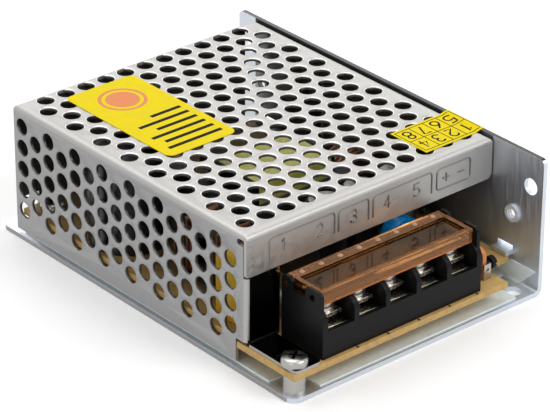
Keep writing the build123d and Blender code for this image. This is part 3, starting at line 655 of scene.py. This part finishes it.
def cover(*finishes):
    top, side = mesh_holes()
    work = bmesh.new()
    cover_top_panel(work, top)
    cover_left_wall(work, side)
    cover_lip(work)
    cover_back_wall(work)
    cover_wing(work)
    cover_flange_and_tab(work)
    bmesh.ops.remove_doubles(work, verts=work.verts, dist=mesh_weld * MM)
    piece = link("mesh_cover", mesh_of("mesh_cover", work))
    on_body(piece, *finishes, slot="cover")
    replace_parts(piece, "cover")


# Printed and pressed marks, and small trim

def ridge(work, points, width, height, place, closed=False):
    # A raised line along flat points: place(u, v, rise) puts its points
    count = len(points)
    rows = []
    for n, point in enumerate(points):
        before = points[n - 1] if n or closed else point
        after = points[(n + 1) % count] if n < count - 1 or closed else point
        way = (after - before).normalized()
        side = Vector((-way.y, way.x)) * width
        profile = ((-0.5, 0.0), (-0.25, 1.0), (0.25, 1.0), (0.5, 0.0))
        rows.append([place(*(point + side * across), height * up) for across, up in profile])
    if closed:
        rows.append(rows[0])
    strip(work, rows, closed=False)


def marks(name, material, draw, body="body"):
    work = bmesh.new()
    draw(work)
    return on_body(link(name, mesh_of(name, work)), material, body=body)


def on_lip(u, v, rise):
    return Vector((u, cover_front - rise, v))


def digit_strokes(digit):
    # Pen lines of a plain digit in a box 0.6 wide and 1 high
    strokes = {
        1: [(0.12, 0.8), (0.32, 1.0), (0.32, 0.0)],
        2: [*arc(0.3, 0.7, 0.3, 170, -35, 10), (0.0, 0.0), (0.6, 0.0)],
        3: [*arc(0.3, 0.74, 0.26, 160, -90, 8), *arc(0.3, 0.26, 0.28, 90, -160, 8)],
        4: [(0.62, 0.3), (0.0, 0.3), (0.42, 1.0), (0.42, 0.0)],
        5: [(0.56, 1.0), (0.08, 1.0), (0.04, 0.56), *arc(0.3, 0.31, 0.31, 110, -150, 10)],
        6: [(0.48, 1.0), (0.14, 0.6), *arc(0.3, 0.3, 0.3, 150, 500, 16)],
        7: [(0.0, 1.0), (0.6, 1.0), (0.2, 0.0)],
        8: [*arc(0.3, 0.76, 0.24, -90, 265, 14), *arc(0.3, 0.26, 0.28, 90, -265, 14)],
    }
    return [Vector(point) for point in strokes[digit]]


def pressed_line(work, points, closed=False):
    ridge(work, points, pressed_width, pressed_rise, on_lip, closed)


def lip_lines(work):
    # Three open frames with the numbers of the terminals, and a box with a plus and a minus
    legend_low, legend_high = 27.6, 33.1
    legend_middle = (legend_low + legend_high) / 2
    corner = 1.0
    digit_height = 3.2
    digit_foot = legend_low + 0.9
    for digit, left in ((1, -28.4), (2, -17.8), (3, -7.4), (4, 3.0), (5, 12.2)):
        foot = Vector((left, digit_foot))
        pressed_line(work, [foot + point * digit_height for point in digit_strokes(digit)])
    shoulder = legend_high - corner
    for left, right in ((-31.8, -12.2), (-11.0, -1.8), (-0.4, 18.0)):
        points = [
            Vector((left, legend_low)),
            *arc(left + corner, shoulder, corner, 180, 90),
            *arc(right - corner, shoulder, corner, 90, 0),
            Vector((right, legend_low)),
        ]
        pressed_line(work, points)
    box_left, box_right = 20.6, 29.3
    box = [
        *arc(box_left, legend_low + corner, corner, 180, 270),
        *arc(box_right, legend_low + corner, corner, 270, 360),
        *arc(box_right, shoulder, corner, 0, 90),
        *arc(box_left, shoulder, corner, 90, 180),
    ]
    pressed_line(work, box, True)
    plus, minus, half = 22.6, 27.3, 1.0
    for x in (plus, minus):
        pressed_line(work, [Vector((x - half, legend_middle)), Vector((x + half, legend_middle))])
    pressed_line(work, [Vector((plus, legend_middle - half)), Vector((plus, legend_middle + half))])


def on_large_label(u, v, rise):
    return Vector((u, v, large_high.z + rise))


def large_label_bars(work):
    first, pitch, width, margin = 3.0, 3.1, 1.2, 2.0
    right = large_high.x - margin
    for n, length in enumerate((16.0, 14.5, 16.0, 12.0, 15.0, 9.0)):
        y = large_low.y + first + pitch * n + width / 2
        ridge(work, [Vector((right - length, y)), Vector((right, y))], width, ink_rise, on_large_label)


def large_label_disc(work):
    ring_radius, ring_width, disc_radius, sides = 5.6, 0.9, 4.2, 48
    from_back = 9.5
    x = (large_low.x + large_high.x) / 2
    y = large_high.y - from_back
    ridge(work, circle(x, y, ring_radius, sides), ring_width, ink_rise, on_large_label, True)
    points = [on_large_label(p.x, p.y, ink_rise) for p in circle(x, y, disc_radius, sides)]
    work.faces.new([work.verts.new(point * MM) for point in points])


def on_small_label(u, v, rise):
    # The sticker lies on the cover and slopes up on to the tall wall's top
    slope = min(1.0, max(0.0, (u - slope_left) / (slope_right - slope_left)))
    return Vector((u, v, cover_top + sticker + (case_high.z - cover_top) * slope + rise))


def small_label_grid(work):
    # Two rows of four cells with the numbers 1 to 8, turned to be read from the back
    columns, rows = 4, 2
    line_width, pen_width, digit_height = 0.25, 0.5, 3.6
    left_margin, right_margin, end_margin = 0.7, 0.5, 0.8
    digit_middle = Vector((0.3, 0.5)) * digit_height
    left, right = small_low.x + left_margin, small_high.x - right_margin
    low, high = small_low.y + end_margin, small_high.y - end_margin
    middle = (low + high) / 2
    for v in (low, middle, high):
        points = [Vector((u, v)) for u in (left, slope_left, slope_right, right)]
        ridge(work, points, line_width, ink_rise, on_small_label)
    for n in range(columns + 1):
        u = left + (right - left) * n / columns
        ridge(work, [Vector((u, low)), Vector((u, high))], line_width, ink_rise, on_small_label)
    for n in range(rows * columns):
        row, column = divmod(n, columns)
        u = right - (right - left) * (column + 0.5) / columns
        v = low + (high - low) * (row + 0.5) / rows
        start = Vector((u, v)) + digit_middle
        points = [start - point * digit_height for point in digit_strokes(n + 1)]
        ridge(work, points, pen_width, ink_rise, on_small_label)


def on_board(u, v, rise):
    return Vector((u, v, board_top + rise))


def board_ticks(work):
    # Printed ticks on the board's front edge, one at each terminal
    tick_width, edge_gap, block_gap = 0.6, 0.15, 0.1
    front, back = board_low.y + edge_gap, block_front - block_gap
    for x in (-19.0, -9.7, -0.2, 9.5, 18.3):
        ridge(work, [Vector((x, front)), Vector((x, back))], tick_width, ink_rise, on_board)


def lid_nubs(work):
    # Eight moulded nubs along the lid's back rim
    first, pitch, count = -24.8, 5.75, 8
    nub_radius, nub_rise, rings, sides = 0.75, 0.4, 4, 16
    from_back = 1.5
    y = lid_high.y - from_back
    for n in range(count):
        middle = Vector((first + pitch * n, y, lid_high.z))
        rows = []
        for k in range(rings):
            turn = math.pi / 2 * k / rings
            reach = nub_radius * math.cos(turn)
            rise = nub_rise * math.sin(turn)
            rows.append([middle + Vector((p.x, p.y, rise)) for p in circle(0, 0, reach, sides)])
        strip(work, rows)
        work.faces.new([work.verts.new(point * MM) for point in rows[-1]])


def dome_rise(reach):
    # Height of the pan head over its seat, at a distance from its middle
    flank, crown = 0.9, 1.2
    squareness, fall = 5, 0.55
    return flank + crown * max(0.0, 1 - (reach / pan_head_radius) ** squareness) ** fall


def pan_head_screws(work):
    steps = 9
    reaches = [pan_head_radius * math.sin(math.radians(90 - 90 * n / steps)) for n in range(steps)]
    for place, seat in board_screw_seats:
        shank = screw_shank_radius
        profile = [(shank, screws_low.z), (shank, seat), (pan_head_radius, seat)]
        profile += [(reach, seat + dome_rise(reach)) for reach in reaches]
        rows = [[Vector((p.x, p.y, z)) for p in circle(*place, reach)] for reach, z in profile]
        strip(work, rows)
        for row in (rows[0], rows[-1]):
            work.faces.new([work.verts.new(point * MM) for point in row])
    bmesh.ops.remove_doubles(work, verts=work.verts, dist=mesh_weld * MM)


def screw_crosses(work):
    # The cross in each pan head, drawn near-black as painted shade in its recess, which follows its
    # dome
    step, width = 0.45, 0.8
    for place, seat in board_screw_seats:
        for way in (Vector((0.8, 0.6)), Vector((-0.6, 0.8))):
            points = [Vector(place) + way * (step * n) for n in range(-4, 5)]

            def on_dome(u, v, rise, place=place, seat=seat):
                reach = (Vector((u, v)) - Vector(place)).length
                return Vector((u, v, seat + dome_rise(reach) + rise))

            ridge(work, points, width, score_rise, on_dome)


def collar_rims(work):
    # The turned face of each tapped collar in the tall wall, drawn as a near-white ring of painted
    # highlight, and two thread crests inside it
    bore, crest, half_crest, crest_depths = 1.3, 1.15, 0.15, (0.5, 1.2)
    face_middle, face_width = 1.75, 0.8
    face_x = case_high.x - wall_thickness - collar_rise

    def on_face(u, v, rise):
        return Vector((face_x - rise, u, v))

    for y in (case_low.y + collar_inset, case_high.y - collar_inset):
        ridge(work, circle(y, collar_height, face_middle), face_width, score_rise, on_face, True)
        for x in (face_x + depth for depth in crest_depths):
            rows = []
            for reach, u in ((bore, x - half_crest), (crest, x), (bore, x + half_crest)):
                rows.append([Vector((u, p.x, p.y)) for p in circle(y, collar_height, reach)])
            strip(work, rows)


def vent_scores(work):
    # The pressed cross in each output can's top, drawn in the darker sheet as painted shade in its
    # grooves
    cans = 3
    score_width, score_share = 0.35, 0.6
    low, high = low_high("output_capacitors")
    radius = (high.y - low.y) / 2
    y = (low.y + high.y) / 2
    reach = radius * score_share

    def on_can(u, v, rise):
        return Vector((u, v, high.z + rise))

    for n in range(cans):
        x = low.x + radius + (high.x - low.x - 2 * radius) * n / (cans - 1)
        for ends in (((x - reach, y), (x + reach, y)), ((x, y - reach), (x, y + reach))):
            ridge(work, [Vector(p) for p in ends], score_width, score_rise, on_can)


# Faces that take another of their piece's finishes
wall_edge_level = case_high.z - 0.3
base_edge_line = case_low.x + 0.1
lid_rim_level = lid_high.z - 0.35
lid_front_line = lid_low.y + 0.05
facing_up = 0.9


def chassis_part(face):
    # The top edge of the tall wall takes near-black painted shade and the left edge of the base the
    # darker painted shade of the left side
    middle = face.calc_center_median() / MM
    if middle.z > wall_edge_level:
        return 1
    return 2 if middle.x < base_edge_line else 0


def lid_part(face):
    # The lid's rim and front take a brighter amber than its panel, as painted light
    middle = face.calc_center_median() / MM
    return 2 if middle.z > lid_rim_level or middle.y < lid_front_line else 0


def can_part(face):
    # The can's bare top
    return 1 if face.normal.z > facing_up else 0


# Materials and pieces

camera()
studio()
paper_floor()

# Sheet metal of the cover
satin_sheet = metal("satin_sheet", (0.43, 0.42, 0.405), 0.50, vary=0.03, depth=0.0015)
# Darker copy of the sheet for the cover's inner faces and bends: painted shade
shaded_sheet = metal("shaded_sheet", (0.16, 0.155, 0.15), 0.45, scale=1200.0, vary=0.10)
# Near-black copy of the sheet, as painted shade on the cover's flange and tab, the tall wall's top edge
# and the pan heads' crosses
painted_shade_sheet = metal("painted_shade_sheet", (0.05, 0.05, 0.05), 0.16, vary=0.10, depth=0.004)
# Brighter copy of the sheet on the top's hole rims: painted highlight
rim_highlight = metal("rim_highlight", (0.72, 0.71, 0.70), 0.32, vary=0.05, depth=0.002)
# Darker copy of the sheet, as painted shade on the left wall, its hole rims and the base's left edge
shaded_side_sheet = metal("shaded_side_sheet", (0.35, 0.35, 0.35), 0.50, vary=0.03, depth=0.0015)
# Darker metal for the lip's pressed lines: painted shade along them
pressed_line_shade = metal("pressed_line", (0.24, 0.235, 0.23), 0.40, vary=0.05, depth=0.002)
cover(satin_sheet, shaded_sheet, painted_shade_sheet, rim_highlight, shaded_side_sheet)
marks("lip_lines", pressed_line_shade, lip_lines)

# Chassis, shaded on the tall wall's inner face under the cover and in a strip at its top
wall_shade = 0.25
wall_middle = case_high.x - wall_thickness / 2
inner_face = ("X", wall_middle, wall_middle - 0.1)
before_back = ("Y", cover_back, cover_back - 0.1)
far_in = ("Y", cover_front - 4, cover_front + 20)
behind_lip = ("Y", cover_front, cover_front + 0.5)
above_base = ("Z", 7, 8)
top_strip = ("Z", 34.3, 34.4)
wall_sheet = metal("brushed_sheet", (0.64, 0.68, 0.73), 0.48, (1, 1, 0.03), 3600.0, 0.10, 0.002)
shaded_inside(wall_sheet, wall_shade, inner_face, before_back, far_in, above_base)
shaded_inside(wall_sheet, wall_shade, inner_face, before_back, behind_lip, top_strip)
dress("chassis", wall_sheet, painted_shade_sheet, shaded_side_sheet, bevel=0.12, choose=chassis_part)

# Screws, tapped collars, clamps and contacts
nickel = metal("nickel", (0.42, 0.41, 0.39), 0.26, scale=700.0, depth=0.003)
for name in ("standoffs", "cover_screws", "device_screws"):
    dress(name, nickel, bevel=0.10)
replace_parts(marks("pan_head_screws", nickel, pan_head_screws), "board_screws")
marks("screw_crosses", painted_shade_sheet, screw_crosses)
# Near-white ring on the collars' faces: painted highlight
collar_face_highlight = plastic("collar_face_highlight", (0.80, 0.80, 0.81), 0.4, scale=900.0, vary=0.06, depth=0.004)
marks("collar_rims", collar_face_highlight, collar_rims)
turned_nickel = wound("turned_nickel", (0.46, 0.45, 0.43), 0.7, "Z", 0.2)
plated = metal("zinc_plate", (0.66, 0.62, 0.55), 0.25, vary=0.15)
tinned = metal("tinned_brass", (0.76, 0.72, 0.63), 0.22, scale=800.0)
ways = range(1, 6)
for n in ways:
    dress(f"terminal_screw_{n}", turned_nickel, bevel=0.07)
for n in ways:
    dress(f"clamp_{n}", plated, bevel=0.08)
    dress(f"spring_washer_{n}", plated, bevel=0.06)
for n in ways:
    dress(f"contact_{n}", tinned, bevel=0.08)

# Board, shaded inside the cover, and the film under it
board_shade = 0.30
laminate = plastic("tan_laminate", (0.60, 0.38, 0.13), 0.55, scale=700.0, vary=0.14)
inside_left = ("X", cover_left + 4, cover_left + 10)
inside_lip = ("Y", cover_front, cover_front + 6)
shaded_inside(laminate, board_shade, inside_left, inside_lip)
dress("circuit_board", laminate, bevel=0.08)
ink = plastic("dark_ink", (0.010, 0.009, 0.008), 0.6, gloss=0.05)
marks("board_ticks", ink, board_ticks)
dress("insulating_sheet", plastic("grey_film", (0.86, 0.93, 0.92), 0.35, scale=500.0, vary=0.05))

# Terminal block and its lid
black = plastic("black_moulding", (0.005, 0.005, 0.0055), 0.34, scale=1500.0, vary=0.20, gloss=0.13)
dress("terminal_block", black, bevel=0.15)
# One clear amber moulding in several tones: a darker panel as painted shade, a brighter rim and front
# as painted light, and painted highlights on the bevelled edges and the nubs
amber_panel_shaded = clear_tinted("amber_panel_shaded", (0.36, 0.16, 0.04), 0.03, 0.98, 0.06, (1.0, 0.6, 0.2))
amber_edge_highlight = clear_tinted("amber_edge_highlight", (1.0, 0.50, 0.16), 0.06, 0.30, 0.5)
amber_rim_lit = clear_tinted("amber_rim_lit", (1.0, 0.42, 0.12), 0.04, 0.86, 0.5, (1.0, 0.6, 0.4))
amber_bead_highlight = clear_tinted("amber_bead_highlight", (1.0, 0.62, 0.36), 0.03, 0.55, 0.8)
dress("terminal_cover", amber_panel_shaded, amber_edge_highlight, amber_rim_lit, bevel=0.20, choose=lid_part, edge=1)
marks("lid_nubs", amber_bead_highlight, lid_nubs, "lid")

# Adjuster
dress("trimmer_body", plastic("orange_track", (0.62, 0.22, 0.05), 0.4), bevel=0.12)
dress("trimmer_lug", nickel, bevel=0.08)
dress("trimmer_rotor", black, bevel=0.08)

# Stickers
yellow_label = plastic("yellow_label", (0.86, 0.68, 0.003), 0.45, scale=300.0, vary=0.04, gloss=0.05)
orange_ink = plastic("orange_ink", (0.72, 0.18, 0.01), 0.4)
dress("large_label", yellow_label)
dress("small_label", yellow_label)
marks("large_label_bars", ink, large_label_bars)
marks("large_label_disc", orange_ink, large_label_disc)
marks("small_label_grid", ink, small_label_grid)

# Parts on the board
dress("x_capacitor", plastic("yellow_moulding", (1.0, 0.58, 0.01), 0.4), bevel=0.25)
dress("y_capacitor", plastic("blue_dip", (0.0, 0.26, 0.70), 0.25), bevel=0.2)
dress("thermistor", plastic("black_dip", (0.02, 0.02, 0.02), 0.4))
sleeve = plastic("black_sleeve", (0.012, 0.012, 0.016), 0.3)
can_metal = metal("can_metal", (0.36, 0.36, 0.36), 0.30)
dress("bulk_capacitor", sleeve, bevel=0.3)
dress("output_capacitors", sleeve, can_metal, choose=can_part)
marks("vent_scores", shaded_sheet, vent_scores)
ferrite = plastic("ferrite", (0.02, 0.02, 0.02), 0.55)
dress("transformer_core", ferrite, bevel=0.15)
dress("choke_core", ferrite, bevel=0.2)
dress("transformer_bobbin", black)
dress("transformer_winding", plastic("yellow_tape", (0.70, 0.68, 0.14), 0.25), bevel=0.2)
dress("inductor_core", plastic("yellow_powder", (0.45, 0.36, 0.05), 0.5), bevel=0.2)
dress("inductor_winding", wound("copper_wire", (0.18, 0.08, 0.035), 0.8, "Y"))
dress("choke_windings", wound("dark_wire", (0.14, 0.06, 0.03), 0.8, "Y"))
chip = plastic("chip_moulding", (0.02, 0.02, 0.02), 0.5)
for name in ("bridge_rectifier", "power_transistor", "output_diode", "optocoupler", "control_ic"):
    dress(name, chip)
dress("insulating_pads", plastic("grey_pad", (0.30, 0.33, 0.35), 0.7))
dress("fuse", clear_tinted("fuse_glass", (0.85, 0.9, 0.9), 0.05, 0.8, 0.5))
dress("resistors", plastic("resistor_coat", (0.45, 0.28, 0.12), 0.4))
